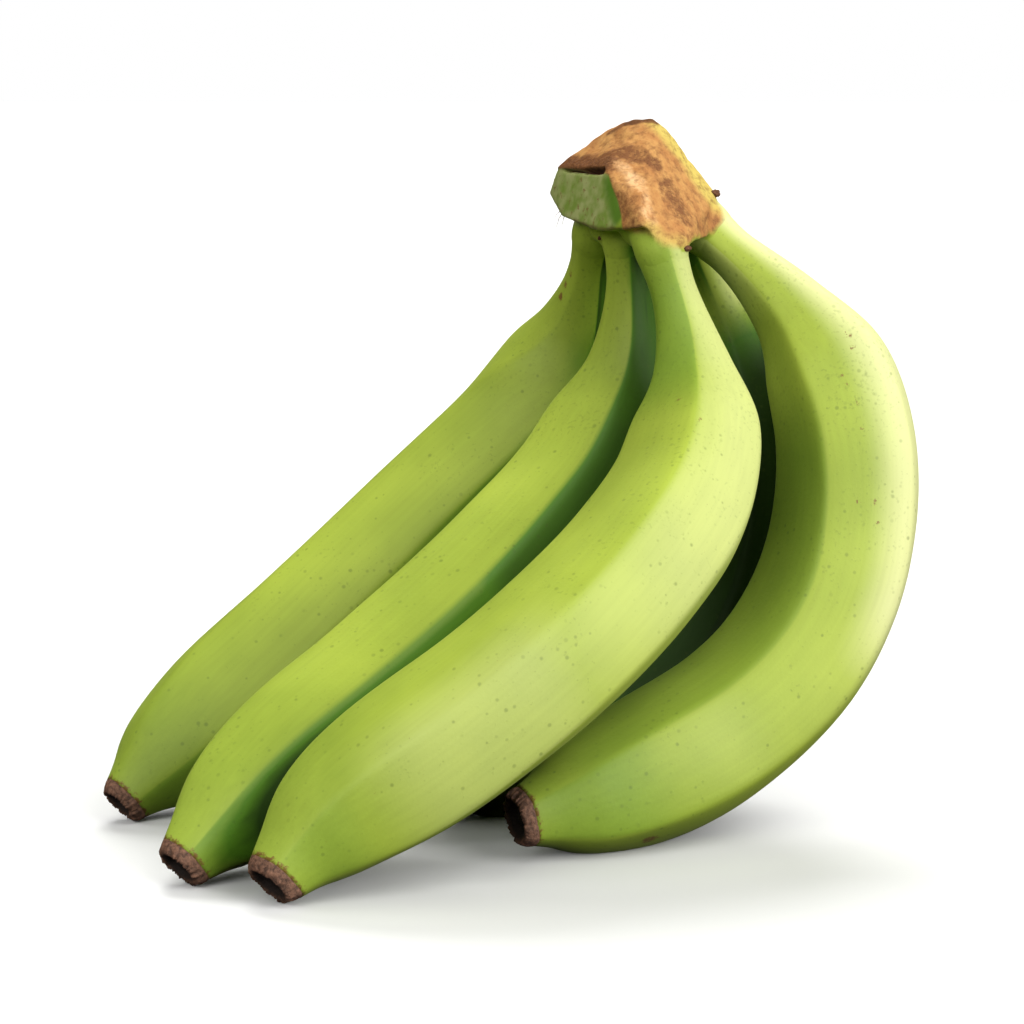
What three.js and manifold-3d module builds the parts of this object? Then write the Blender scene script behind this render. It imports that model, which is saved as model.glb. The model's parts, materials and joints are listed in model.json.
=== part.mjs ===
// A hand of five unripe plantains on one cut crown, standing on the bellies of two
// fingers and on the dried ends of the other three. Millimetres, +Z up, floor at Z = 0.

import * as THREE from 'three';
import { ConvexGeometry } from 'three/addons/geometries/ConvexGeometry.js';
import * as BufferGeometryUtils from 'three/addons/utils/BufferGeometryUtils.js';
import Module from 'manifold-3d';

// ---- driving dimensions -------------------------------------------------------------

const GAP = 0.3;                // clearance between pieces that touch
const FLOOR = 0;                // height of the surface that the fruit stands on

const SIDES = 20;               // facets round a finger, four to each of its faces
const RIDGES = 5;               // long ridges of a finger
const RIDGE_SHARPNESS = 0.45;   // 0 is a round section, 1 a sharp pentagon
const STATIONS = 36;            // rings along a finger
const SUBSTEPS = 5;             // steps of the centre line between two rings

// Radius over the ridges against the share of the length, from the crown to the dried end.
const PROFILE_SHARES = [0, 0.05, 0.14, 0.22, 0.31, 0.45, 0.68, 0.82, 0.91, 0.965, 1];
const PROFILE_RADII = [8, 7.3, 12.2, 20.2, 22.6, 23.5, 23.5, 22.5, 17.7, 11.4, 8.3];

const TIP_LENGTH = 5;           // dried flower end
const TIP_RADIUS = 8.2;
const TIP_RIM = 8.7;
const TIP_DISH = 1.6;           // depth of its hollow scar
const TIP_SIDES = 20;

const NECK_START = 0.04;        // shares of the length between which the neck bends
const NECK_END = 0.4;
const BODY_START = 0.28;        // the body's own bend starts inside the neck's
const TIP_TURN_START = 0.78;    // the last part can turn on its own
const TWIST_START = 0.45;       // the ridges turn round the body between these
const TWIST_END = 0.9;

const ROOT_FOOT = 8.2;          // radius of a stalk's root where the stalk starts
const HEART = [42, 43, 192];    // the roots run together here, inside the crown
const HEART_RADIUS = 9;

// Each finger: where its stalk leaves the crown, the way the stalk points there (heading
// anticlockwise from +X, dip below the horizon), the side it bends to (roll about the
// stalk), how far neck and body bend and sway, the turn of its last part, its length and
// girth, and where round the section its first ridge runs, with the turn of that ridge
// along the body. In mm and degrees.
const FINGERS = [
    {
        start: [27, 49, 177], heading: -80, dip: 128, roll: 145, neckBend: 63, bodyBend: 16,
        sway: -2, tipTurn: -8, length: 254, girth: 0.99, ridge: -50, twist: 0,
    },
    {
        start: [36.5, 34, 176.5], heading: 80, dip: 79, roll: -65, neckBend: 65, bodyBend: 3,
        sway: 18, tipTurn: -15, length: 261, girth: 0.98, ridge: -43, twist: 0,
    },
    {
        start: [46, 13, 174.5], heading: -26, dip: 71, roll: 173, neckBend: 60, bodyBend: -6,
        sway: 69, tipTurn: -34, length: 256, girth: 1, ridge: -33, twist: -10,
    },
    {
        start: [60.5, 40.5, 180], heading: -20, dip: 39, roll: -81, neckBend: 45, bodyBend: 91,
        sway: -59, tipTurn: 0, length: 257, girth: 1.02, ridge: -94, twist: 44,
    },
    {
        start: [59, 62.5, 171], heading: -4, dip: 67, roll: -88, neckBend: 31, bodyBend: 104,
        sway: -33, tipTurn: 0, length: 250, girth: 0.99, ridge: -94, twist: 0,
    },
];

// Corners of the knife-cut block at the top, with the lip where the bunch's stem was cut off.
const CROWN_CORNERS = {
    lipBack: [14, 47.5, 197],
    lipSide: [13, 51.5, 188],
    lipLow: [17, 39.5, 184],
    lipFront: [28, 21.5, 181],
    meet: [29, 24.5, 197],
    ridgeTop: [31, 50.5, 209],
    apex: [43, 39.5, 213],
    apexRight: [48, 41.5, 210],
    frontLow: [40, 3.5, 183],
    frontFoot: [54, 7.5, 177],
    rightLow: [65.5, 36.5, 177],
    rightSide: [63.5, 39.5, 190],
    backTop: [41, 63.5, 209],
    backRight: [63, 69.5, 186],
    backLeft: [23, 69.5, 197],
    backLow: [39, 69.5, 180],
};

// ---- helpers ------------------------------------------------------------------------

const wasm = await Module();
wasm.setup();

function toSolid(geometry) {
    const bare = geometry.clone();
    bare.deleteAttribute('normal');
    bare.deleteAttribute('uv');
    const merged = BufferGeometryUtils.mergeVertices(bare, 1e-4);
    return new wasm.Manifold(new wasm.Mesh({
        numProp: 3,
        vertProperties: new Float32Array(merged.attributes.position.array),
        triVerts: new Uint32Array(merged.index.array),
    }));
}

function toGeometry(solid) {
    const mesh = solid.getMesh();
    const geometry = new THREE.BufferGeometry();
    geometry.setAttribute('position', new THREE.BufferAttribute(mesh.vertProperties, 3));
    geometry.setIndex(new THREE.BufferAttribute(mesh.triVerts, 1));
    geometry.computeVertexNormals();
    return geometry;
}

const smooth = (value, from, to) => THREE.MathUtils.smoothstep(value, from, to);

const profile = new THREE.CubicInterpolant(PROFILE_SHARES, PROFILE_RADII, 1);

const inRadians = (degrees) => THREE.MathUtils.degToRad(degrees);

// The direction between two perpendicular ones, turned by an angle from the first.
function between(first, second, angle) {
    return first.clone().multiplyScalar(Math.cos(angle)).addScaledVector(second, Math.sin(angle));
}

// Direction of a finger's centre line at a share of its length, with the two directions
// across it: inward, to which the neck and body bend, and sideways.
function frameAt(finger, share) {
    const heading = inRadians(finger.heading);
    const level = new THREE.Vector3(Math.cos(heading), Math.sin(heading), 0);
    const stalk = between(level, new THREE.Vector3(0, 0, -1), inRadians(finger.dip));
    const across = new THREE.Vector3(-Math.sin(heading), Math.cos(heading), 0);
    const inwardAtStalk = across.applyAxisAngle(stalk, inRadians(finger.roll));
    const sidewaysAtStalk = new THREE.Vector3().crossVectors(stalk, inwardAtStalk);

    const neck = finger.neckBend * smooth(share, NECK_START, NECK_END);
    const body = finger.bodyBend * smooth(share, BODY_START, 1);
    const sway = finger.sway * smooth(share, 0, 1);
    const tipTurn = finger.tipTurn * smooth(share, TIP_TURN_START, 1);
    const bend = inRadians(neck + body);
    const lean = inRadians(sway + tipTurn);
    const bent = between(stalk, inwardAtStalk, bend);
    return {
        along: between(bent, sidewaysAtStalk, lean),
        inward: between(inwardAtStalk, stalk, -bend),
        sideways: between(sidewaysAtStalk, bent, -lean),
    };
}

// Centre point and frame at each ring of a finger, from the stalk's start to the very end.
function traceFinger(finger) {
    const rings = [];
    const point = new THREE.Vector3(...finger.start);
    const steps = STATIONS * SUBSTEPS;
    for (let step = 0; step <= steps; step++) {
        const share = step / steps;
        if (step % SUBSTEPS === 0) {
            rings.push({ share, point: point.clone(), ...frameAt(finger, share) });
        }
        const middle = frameAt(finger, share + 0.5 / steps);
        point.addScaledVector(middle.along, finger.length / steps);
    }
    return rings;
}

// How much of the ridge radius a rounded pentagon has at an angle round the section.
function sectionFactor(angle) {
    const face = 2 * Math.PI / RIDGES;
    const fromFaceMiddle = THREE.MathUtils.euclideanModulo(angle, face) - face / 2;
    return (Math.cos(face / 2) / Math.cos(fromFaceMiddle)) ** RIDGE_SHARPNESS;
}

// A closed skin over some of a finger's rings, swollen by a margin: a unit cylinder whose
// rings of points are moved onto the finger's own.
function fingerSkin(finger, rings, margin) {
    const skin = new THREE.CylinderGeometry(1, 1, 1, SIDES, rings.length - 1);
    skin.deleteAttribute('normal');
    skin.deleteAttribute('uv');
    const position = skin.attributes.position;
    const vertex = new THREE.Vector3();
    for (let i = 0; i < position.count; i++) {
        vertex.fromBufferAttribute(position, i);
        const ring = rings[Math.round((0.5 - vertex.y) * (rings.length - 1))];
        const onAxis = Math.hypot(vertex.x, vertex.z) < 0.5;
        const around = Math.atan2(vertex.z, vertex.x);
        const ridge = finger.ridge + finger.twist * smooth(ring.share, TWIST_START, TWIST_END);
        const angle = around + THREE.MathUtils.degToRad(ridge);
        const radius = onAxis
            ? 0 : profile.evaluate(ring.share)[0] * finger.girth * sectionFactor(around) + margin;
        vertex.copy(ring.point)
            .addScaledVector(ring.inward, radius * Math.cos(angle))
            .addScaledVector(ring.sideways, radius * Math.sin(angle));
        position.setXYZ(i, vertex.x, vertex.y, vertex.z);
    }
    return toSolid(skin);
}

// The ring at a distance before (negative) or along the centre line, by straight extension.
function shiftedRing(ring, distance) {
    return { ...ring, point: ring.point.clone().addScaledVector(ring.along, distance) };
}

// A solid of revolution placed at a ring, its axis along the finger.
function placeAtRing(geometry, ring) {
    const toFinger = new THREE.Matrix4().makeBasis(ring.sideways, ring.along, ring.inward);
    toFinger.setPosition(ring.point);
    return geometry.applyMatrix4(toFinger);
}

// ---- pieces -------------------------------------------------------------------------

function buildFinger(finger, rings) {
    const last = rings[rings.length - 1];
    const body = rings.filter((ring) => ring.share * finger.length < finger.length - TIP_LENGTH - 2);
    body.push(shiftedRing(last, -TIP_LENGTH - GAP));
    return fingerSkin(finger, body, 0).trimByPlane([0, 0, 1], FLOOR);
}

function buildTip(rings) {
    const last = rings[rings.length - 1];
    const outline = [
        [0, -TIP_LENGTH],
        [TIP_RADIUS * 0.96, -TIP_LENGTH],
        [TIP_RIM, -TIP_LENGTH * 0.45],
        [TIP_RADIUS * 0.93, 0],
        [TIP_RADIUS * 0.6, -TIP_DISH * 0.5],
        [0, -TIP_DISH],
    ].map(([radius, along]) => new THREE.Vector2(radius, along));
    const dish = new THREE.LatheGeometry(outline, TIP_SIDES);
    return toSolid(placeAtRing(dish, last)).trimByPlane([0, 0, 1], FLOOR);
}

function cornersOf(geometry) {
    const position = geometry.attributes.position;
    const corner = (_, i) => new THREE.Vector3().fromBufferAttribute(position, i);
    return Array.from({ length: position.count }, corner);
}

// A stalk's root: the convex shape from its round foot to the heart of the crown.
function buildRoot(rings) {
    const foot = new THREE.CircleGeometry(ROOT_FOOT, SIDES).rotateX(Math.PI / 2).translate(0, -GAP, 0);
    const heart = new THREE.IcosahedronGeometry(HEART_RADIUS, 1).translate(...HEART);
    return toSolid(new ConvexGeometry([...cornersOf(placeAtRing(foot, rings[0])), ...cornersOf(heart)]));
}

// The crown: the cut block and a root for each stalk, less the room that the stalks take.
function buildCrown(traced) {
    const corners = Object.values(CROWN_CORNERS).map((corner) => new THREE.Vector3(...corner));
    let crown = toSolid(new ConvexGeometry(corners));
    for (const rings of traced) {
        crown = crown.add(buildRoot(rings));
    }
    traced.forEach((rings, i) => {
        const stalk = [shiftedRing(rings[0], -GAP), ...rings.slice(0, 6)];
        crown = crown.subtract(fingerSkin(FINGERS[i], stalk, GAP));
    });
    return crown;
}

// ---- assembly -----------------------------------------------------------------------

const hand = new THREE.Group();
hand.name = 'plantain_hand';

function addPiece(name, solid, colour, roughness) {
    const material = new THREE.MeshStandardMaterial({ color: colour, roughness, metalness: 0 });
    const piece = new THREE.Mesh(toGeometry(solid), material);
    piece.name = name;
    hand.add(piece);
}

const traced = FINGERS.map(traceFinger);
addPiece('crown', buildCrown(traced), '#c98f52', 0.8);
FINGERS.forEach((finger, i) => {
    addPiece(`plantain_${i + 1}`, buildFinger(finger, traced[i]), '#a9bf4b', 0.45);
    addPiece(`dried_tip_${i + 1}`, buildTip(traced[i]), '#4a3226', 0.9);
});

export default hand;
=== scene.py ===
"""A hand of five unripe green plantains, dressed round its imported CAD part.

The peels, the cut crown and the dried flower ends are built as fine meshes that stand for
the CAD solids. The shape tables and the functions that build from them use millimetres, and
the settings and the finished meshes use metres.
"""
import json
import math

import bmesh
import bpy
import numpy as np
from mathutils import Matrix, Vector, noise
from mathutils.bvhtree import BVHTree
from mathutils.kdtree import KDTree

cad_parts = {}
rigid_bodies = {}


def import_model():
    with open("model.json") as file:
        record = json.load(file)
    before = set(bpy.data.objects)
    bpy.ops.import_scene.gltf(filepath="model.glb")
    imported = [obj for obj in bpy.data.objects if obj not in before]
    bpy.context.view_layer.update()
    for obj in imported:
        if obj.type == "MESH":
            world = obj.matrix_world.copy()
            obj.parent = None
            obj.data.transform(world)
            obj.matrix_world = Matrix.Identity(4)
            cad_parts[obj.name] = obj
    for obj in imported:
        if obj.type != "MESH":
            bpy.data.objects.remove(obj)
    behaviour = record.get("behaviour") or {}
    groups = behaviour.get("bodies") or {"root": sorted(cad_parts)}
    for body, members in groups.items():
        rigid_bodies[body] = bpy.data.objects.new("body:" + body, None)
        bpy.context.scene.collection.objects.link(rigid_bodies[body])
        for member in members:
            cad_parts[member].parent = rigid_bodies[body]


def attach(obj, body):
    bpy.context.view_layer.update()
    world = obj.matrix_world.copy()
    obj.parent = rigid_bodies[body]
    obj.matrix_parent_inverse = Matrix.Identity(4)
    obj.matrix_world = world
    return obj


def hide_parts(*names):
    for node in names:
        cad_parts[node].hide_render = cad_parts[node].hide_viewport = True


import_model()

bl_info = {
    "name": "Plantain hand",
    "version": (1, 0, 0),
    "blender": (4, 5, 0),
    "location": "3D View > Sidebar > Plantain hand",
    "description": "Builds a hand of green plantains with its cut crown and dried flower ends",
    "category": "Add Mesh",
}

# ---- shape tables, in millimetres and degrees, as in the CAD source -------------------

MM = 0.001
BODY = "root"

RIDGES = 5
RIDGE_SHARPNESS = 0.6   # crisper than the CAD's 0.45, and swelled to the same mean girth
STALK_SHARPNESS = 0.4
RIDGE_SWELL = 1.02
RIDGE_FILLET, STALK_FILLET = 4.0, 10.0
PROFILE_SHARES = [0, 0.05, 0.14, 0.22, 0.31, 0.45, 0.68, 0.82, 0.91, 0.965, 1]
PROFILE_RADII = [8, 7.3, 12.2, 20.2, 22.6, 23.5, 23.5, 22.5, 17.7, 11.4, 8.3]
NECK_START, NECK_END, BODY_START = 0.04, 0.4, 0.28
TIP_TURN_START, TWIST_START, TWIST_END = 0.78, 0.45, 0.9
TIP_LENGTH = 5.0
NOSE_START, NOSE_END = 0.93, 0.985
RIDGED_START, RIDGED_FULL = 0.04, 0.2   # shares where the stalk's section turns to the body's
EVEN_START, EVEN_FULL, EVENNESS = 0.86, 0.97, 0.7   # and where it evens out again, by how much
FILLET_RISE = 0.15      # the share of its fillet that a ridge gains again
SHIFT_START, SHIFT_END = 0.04, 0.3      # shares over which a stalk's shift fades out
SLIM_START, SLIM_END = 0.07, 0.2        # shares over which a slim stalk thickens to the body
END_TAPER, TAPER_START, TAPER_FULL = 0.36, 16, 4    # the flower end's cone, mm from the end
LINE_STEPS = 1440       # steps in which the line through a finger is added up
HEART = (42, 43, 192)
HEART_RADIUS = 11.0
PEEL_RINGS, PEEL_SIDES = 240, 150
STALK_RINGS = 24        # rings of a peel near enough for the crown to copy their skin
END_RINGS, END_SIDES = 64, 160
ROOT_RINGS, ROOT_SIDES = 12, 50
TREE_RINGS, TREE_SIDES = 120, 40
PRESS_FADE, PRESS_EDGE = 0.15, 0.3      # how a pressed side ends, in share and in cosine
SHELTER_REACH = 70.0    # a neighbour further off than this adds no painted shade to the peel
SHELTER_START, SHELTER_FULL = 0.3, 0.7  # shares where the painted shade of the peel starts to deepen and is deep
PEEL_RAYS, CROWN_RAYS = 36, 14          # rays from a point of each
RAY_LIFT = 0.8          # how far off the skin a ray starts
RING_STEP, SIDE_STEP = 4, 3     # rays leave from every fourth ring and every third side
SKYWARD = np.array((-0.5, 0.1, 0.86))   # skin that turns away from here gets more painted shade still
SKY_LEAST, SKY_MORE = 0.6, 1.6          # by how much, from where to where
SKY_START, SKY_FULL = -0.4, 0.5
ASKEW = (0.3, 0.5, 0.81)    # no skin looks quite this way, so the fan of rays can be turned by it
LIGHTWARD = (0.9, -0.2, 0.4)  # painted light: the peel facing this way, towards the lights on the right, is paler
LIT_START, LIT_FULL, LIT_MOST = 0.45, 0.98, 0.7

# Each finger: the start of its stalk, the way that points, how its neck and body bend and
# sway, its length and girth, where its ridges run, how slim its stalk is, the way its dried
# end faces and that end's radius. One may be pressed flatter on a side: the way that side
# faces, how deep, and from which share of the length to which. A swing turns its ridges by
# degrees at shares of the length, and a shift moves the stalk where it crowds its neighbour.
FINGERS = [
    dict(start=(27, 49, 177), heading=-80, dip=128, roll=145, neck=63, body=16, sway=-2,
         tip_turn=-8, length=254, girth=0.99, ridge=-50, twist=0, stalk=0.92,
         nose=(-0.66, -0.39, -0.63), end=7.3,
         swing=([0, 0.12, 0.3, 0.8, 0.95, 1], [-26, -24, 6, 6, 0, 0])),
    dict(start=(36.5, 34, 176.5), heading=80, dip=79, roll=-65, neck=65, body=3, sway=18,
         tip_turn=-15, length=261, girth=0.98, ridge=-43, twist=0, stalk=1.0,
         nose=(-0.62, -0.47, -0.62), end=7.6,
         swing=([0, 0.1, 0.2, 0.35, 0.5, 0.85, 1], [0, 0, 12, 11, 6, 5, 0])),
    dict(start=(46, 13, 174.5), heading=-26, dip=71, roll=173, neck=60, body=-6, sway=69,
         tip_turn=-34, length=256, girth=1, ridge=-33, twist=-10, stalk=1.0,
         nose=(-0.59, -0.47, -0.65), end=8.0,
         swing=([0, 0.06, 0.15, 0.25, 0.4, 1], [0, 0, 10, 10, 0, 0]),
         pressed=((0.98, -0.1, -0.1), 1.2, 0.13, 0.4)),
    dict(start=(60.5, 40.5, 180), heading=-20, dip=39, roll=-81, neck=45, body=91, sway=-59,
         tip_turn=0, length=257, girth=1.02, ridge=-94, twist=44, stalk=1.08,
         nose=(-0.90, -0.40, -0.17), end=8.0, shift=(-0.2, 0, -0.2),
         pressed=((-1.0, 0, 0), 1.5, 0.1, 0.75)),
    dict(start=(59, 62.5, 171), heading=-4, dip=67, roll=-88, neck=31, body=104, sway=-33,
         tip_turn=0, length=250, girth=0.99, ridge=-94, twist=0, stalk=1.0,
         nose=(-0.83, -0.47, 0.31), end=7.8),
]

# The crown's knife-cut block, the lip of peel left under its edge by a crevice, and the
# torn facet between them.
BLOCK_CORNERS = [
    (15, 48.5, 197.8), (29.4, 24.2, 198.4), (31, 50.5, 209.3), (38.8, 41.5, 212.6),
    (44.2, 39.5, 213.3), (48.4, 41.5, 210.3), (40.5, 5.5, 183.5), (53, 8.5, 178),
    (44.5, 5.6, 177.5), (49, 6.4, 175.8), (54, 10.5, 175.8),
    (64, 36.5, 178.5), (64, 39.5, 190), (41, 63.5, 209), (61, 67, 186), (24, 68, 198),
    (41, 66, 183),
]
# Webs of peel between neighbouring stalks, each a centre and a radius.
WEBS = [
    ((31, 38, 180.5), 6.5), ((40, 21.5, 180.5), 6.5), ((57, 52, 178), 7.0),
    ((62.5, 39, 182), 4.4),
]
LIP_CORNERS = [
    (15.2, 47.5, 197.2), (12.8, 51.5, 189.5), (16.4, 39.5, 183), (27, 20.5, 179.6),
    (33.4, 13.4, 180.2), (33, 15.8, 189.4), (31.6, 19.2, 194), (29.8, 23, 196),
    (40, 40, 195), (40, 40, 180), (34, 60, 194), (34, 60, 182), (16, 58, 189),
]
FACET_CORNERS = [
    (30.5, 23.6, 197), (32.4, 18.4, 194.6), (34, 12.6, 180.2), (40.6, 3.8, 181.8),
    (40.6, 12.4, 191.6), (40, 30, 198), (40, 30, 182), (33, 26, 182),
]
# The crevice between the cut and the lip: its line from left to right, and half its height.
CREVICE = [(15, 49, 196.6), (22, 35.5, 197.1), (28.8, 26, 197.7)]
CREVICE_HALF, CREVICE_DEPTH = 1.2, 4.0
CREVICE_LEAST, CREVICE_MORE = 0.45, 0.75    # shares of that half at its left, and added on
CREVICE_NARROW, CREVICE_WIDE = 17, 29       # the x between which it opens
CREVICE_CORE = 0.35     # the share of its half height that is cut to the full depth
CREVICE_DARK = (0.05, 0.5)      # how deep its painted shade starts and is full, as a share
ROOT_REACH = 11.0       # how far a stalk runs on straight before its root turns to the heart
ROOT_SWELL, ROOT_SLIMMING = 0.9, 0.4    # how much thicker than the stalk, and lost on the way
CUT_FADE = (-1.8, 1.4)  # how far under and over the border the peel turns to cut
ALL_CUT = 0.98          # from here on no peel shows
# The crown's sleeve round each stalk: shares of the finger and how far it stands off the skin.
SLEEVE_SHARES = [0.0, 0.008, 0.016, 0.024, 0.03]
SLEEVE_HEIGHTS = [0.5, 0.4, 0.15, -0.25, -0.8]

# Height of the border between the dry cut face and the green peel, against the azimuth
# round the crown's own axis.
CROWN_AXIS = (42, 40)
BORDER_AZIMUTHS = [-180, -160, -140, -128, -123, -117, -110, -106.7, -105, -98, -92, -89, -85,
                   -80, -68, -58, -39, -22, -11, -2, 30, 90, 140, 160]
BORDER_HEIGHTS = [197.4, 197.3, 197.2, 197.1, 196.6, 193.7, 189.4, 185, 181, 180.6, 181.2, 180,
                  177.6, 176.6, 175.6, 178.6, 177.2, 179, 185, 189.6, 191, 187, 192, 197.4]

# Faces of a finger with more painted shade, less painted shade or painted light than the rays
# find: the finger, the face (0 to 4, counted from its first ridge), from which share of the
# length to which, and by how much.
SHADED_FACES = [
    (1, 4, 0.72, 1.0, 0.6), (2, 4, 0.0, 0.55, 1.3), (2, 4, 0.5, 1.0, 0.8),
    (3, 0, 0.0, 0.2, 0.5), (3, 1, 0.0, 0.3, 0.6), (3, 4, 0.88, 1.0, 0.4),
    (4, 0, 0.28, 0.95, 0.35), (4, 4, 0.84, 1.0, 0.45), (5, 4, 0.12, 0.7, 1.9),
    (5, 0, 0.12, 0.7, 1.9),
]
UNSHADED_FACES = [
    (1, 0, -0.1, 0.16, 0.85), (1, 0, 0.16, 0.75, 0.6), (4, 0, -0.1, 0.22, 1.0),
    (4, 4, -0.1, 0.22, 1.0), (4, 0, 0.24, 0.6, 0.5), (5, 4, -0.1, 0.11, 1.0),
]
LIT_FACES = [(3, 4, 0.6, 0.82, 0.15), (4, 3, -0.1, 0.55, 0.62), (4, 0, -0.1, 0.1, 0.15)]
CRISP, SOFT = 0.08, 0.75    # how far a marked face fades round its ridges, in radians
FACE_INSET, RUN_FADE = 0.02, 0.06
BOTH_SHARE = 0.45       # what the weaker of ray shelter and a face's painted shade adds to the stronger
TIP_SHADE = 0.22        # painted shade: how much darker and greener every finger is towards its flower end
TIP_SHADE_START, TIP_SHADE_FULL = 0.7, 0.95

# The peel: how far it runs under the crown and over the flower end, how wide its swellings
# are, how far it stays off the ground, how strong its brown border at the flower end is and
# how far from the tip that starts and is full, and how far apart the fingers' streaks are taken.
PEEL_UNDER_CROWN, PEEL_OVER_END = 1.0, 1.2
LUMP_WIDTH, GROUND_GAP = 26.0, 0.02
BORDER_STRENGTH, BORDER_START, BORDER_FULL = 0.8, 6.5, 3.8
STREAK_SPACE = 400
SHADE_START, SHADE_FULL = -0.5, 0.5     # painted shade at which the painted light starts to fade, and is gone
OPEN_SHELTER = -0.5     # the shelter of the cut, which shows no peel

# Brown marks on the peel: place, size and strength. They are a scuff on the first stalk, flecks
# along the fourth finger, a dark brown patch where it stands, and specks on the third's shoulder.
PEEL_MARKS = [
    ((16.6, 60.8, 157), 2.2, 1.0), ((18, 58.8, 160.6), 2.0, 0.9),
    ((19.6, 55.3, 164.4), 1.8, 0.8), ((102.1, 11.2, 149), 1.7, 0.8),
    ((103.4, 9.3, 145.9), 1.5, 0.8), ((100.2, 5.2, 137.9), 1.6, 0.7),
    ((101, 4.5, 135.9), 1.4, 0.8), ((104.3, 2.8, 129.8), 1.8, 0.7),
    ((105.4, 0.9, 122.2), 1.6, 0.8), ((104.3, -4.2, 101.6), 1.6, 0.7),
    ((109.4, -3.2, 101.1), 1.5, 0.8), ((110.3, -4, 94.7), 1.4, 0.7),
    ((42, -31.8, 4.7), 4.5, 0.9), ((50.7, -15.5, 132.7), 2.0, 0.6),
    ((56.1, -24.4, 127.8), 1.8, 0.6),
]
CORE = 0.3              # the share of a mark's reach where it is at its full strength

# Lines along the crown's coloured parts, in millimetres, each with how far from it the part is
# full and where it has faded: the lip's middle, the yellower right and lower edges, a painted
# highlight on the ridge beside the torn facet, the rim torn off under the lip, and the lip's
# darker fold.
LIP_PART = ([(17, 46, 190), (30, 21, 189)], 9, 11)
YELLOW_EDGE = ([(47, 40, 211), (57.5, 38, 199.5), (64.5, 36, 189)], 2.0, 7.5)
LOWER_EDGE = ([(42.5, 5.5, 181), (46, 5.8, 177.5), (53, 8.5, 176)], 1.0, 5.0)
RIDGE_HIGHLIGHT = ([(33, 27, 199), (36.5, 23, 198), (39, 17.5, 194.5), (41.3, 11, 189),
                 (42.5, 8, 184)], 0.5, 3.5)
TORN_RIM = ([(20.5, 33, 182.2), (27, 21, 180.6), (34, 13.5, 180.8), (40.6, 4.4, 182.2)],
            0.2, 0.9)
LIP_FOLD = ([(30.5, 21, 195), (34, 13.5, 182)], 0.5, 4.5)
LOWER_SHARE, RIM_SHARE = 0.6, 0.6       # how strong two of them are at most

# Brown blotches on the cut: a line through each, its reach and strength.
STAINS = [
    ([(15.5, 48, 198.4), (22, 37.5, 199), (29, 27.5, 199.6)], 6.0, 1.5),
    ([(37, 42.5, 211.8), (44.2, 39.5, 213.4)], 3.3, 2.2),
    ([(32, 45, 207.5), (37, 42.5, 211.5)], 3.0, 0.9),
    ([(29.5, 31, 202), (36, 28.5, 203), (44.3, 25.2, 200)], 4.2, 0.8),
    ([(34.5, 16.5, 191), (38.5, 8.5, 184.5)], 4.2, 0.35),
    ([(49, 20.5, 192.5), (53, 16.5, 185.5)], 6.0, 0.65),
    ([(58, 22, 181.5), (63, 33, 181)], 4.2, 0.25),
]

# How the crown is smoothed, by weight and turns: all of it, then the cut and, by so much more,
# its cushion of peel, then the shelter found on it, which sets its painted shade.
FIRST_WEIGHT, FIRST_TURNS = 0.6, 3
CUT_WEIGHT, CUSHION_WEIGHT, CUSHION_TURNS = 0.12, 0.48, 30
SHELTER_WEIGHT, SHELTER_TURNS = 0.5, 12
CUSHION_DEPTH = 3       # how far under the border the cushion is at its softest

# Torn scraps (place, half sizes, how far out of the surface) and loose fibres (place, way
# they point, length), which are tubes that sag and thin towards their ends.
SCRAPS = [
    ((64.6, 38.6, 190.6), (1.5, 1.3, 1.1), 0.5),
    ((55.4, 8.6, 175.2), (1.3, 1.0, 0.9), 0.2),
    ((28.3, 33.1, 176.9), (0.55, 0.5, 0.6), 0.2),
]
FIBRES = [
    ((16, 40.5, 184), (-0.5, -0.2, -0.75), 3.6), ((15.4, 41.5, 184.5), (-0.75, -0.3, -0.4), 2.8),
    ((17, 39, 183.4), (-0.25, -0.3, -0.85), 2.6),
]
FIBRE_RINGS, FIBRE_SIDES = 14, 7
FIBRE_RADIUS, FIBRE_THINNING, FIBRE_SAG, FIBRE_WANDER = 0.16, 0.7, 0.45, 0.5

# The flower end's outline from inside the peel, over the rim and down into the hollow: its
# radius as a share of the end's, and its place along the finger in millimetres. Then the
# shares of the outline where the rim, its edge and the dark hollow are, and their widths.
END_OUTLINE = [(0.9, -6.5), (1.12, -5.2), (1.17, -4.2), (1.14, -2.9), (1.04, -1.4), (0.94, -0.5),
               (0.82, -0.2), (0.66, -0.9), (0.5, -2.1), (0.32, -2.4), (0.15, -1.8), (0.04, -1.6)]
RIM_PLACE, RIM_WIDTH = 0.42, 0.16
EDGE_PLACE, EDGE_WIDTH = 0.5, 0.08
PIT_START, PIT_FULL = 0.5, 0.66

# ---- the stage, in metres and degrees -------------------------------------------------

# Soft lights: name, azimuth clockwise from behind the camera, elevation, strength.
LIGHTS = (
    ("low_front_right", 45, 12, 3.0), ("front_right", 45, 40, 1.6), ("high_front", 0, 66, 0.42),
    ("front", -20, 25, 1.5), ("left", -95, 33, 1.25), ("back", 180, 46, 3.4),
    ("right", 95, 25, 0.55),
)
RIM_LIGHT = 80          # lights from here round to the back are for shape alone
TARGET = (0.0015, 0.017, 0.095)         # the point that the camera looks at
FLOOR_HALF, FLOOR_ROUGHNESS = 8.0, 0.9
SENSOR_WIDTH = 36

# ---- numbers -------------------------------------------------------------------------


def linear(code):
    """An sRGB hex colour as linear numbers, with full opacity."""
    channels = [int(code[i:i + 2], 16) / 255 for i in (0, 2, 4)]
    channels = [c / 12.92 if c <= 0.04045 else ((c + 0.055) / 1.055) ** 2.4 for c in channels]
    return (*channels, 1.0)


def smoothstep(value, low, high):
    """0 at low and beyond, 1 at high and beyond, and an even curve between them. Low may be
    the larger of the two."""
    t = np.clip((np.asarray(value, float) - low) / (high - low), 0, 1)
    return t * t * (3 - 2 * t)


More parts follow.
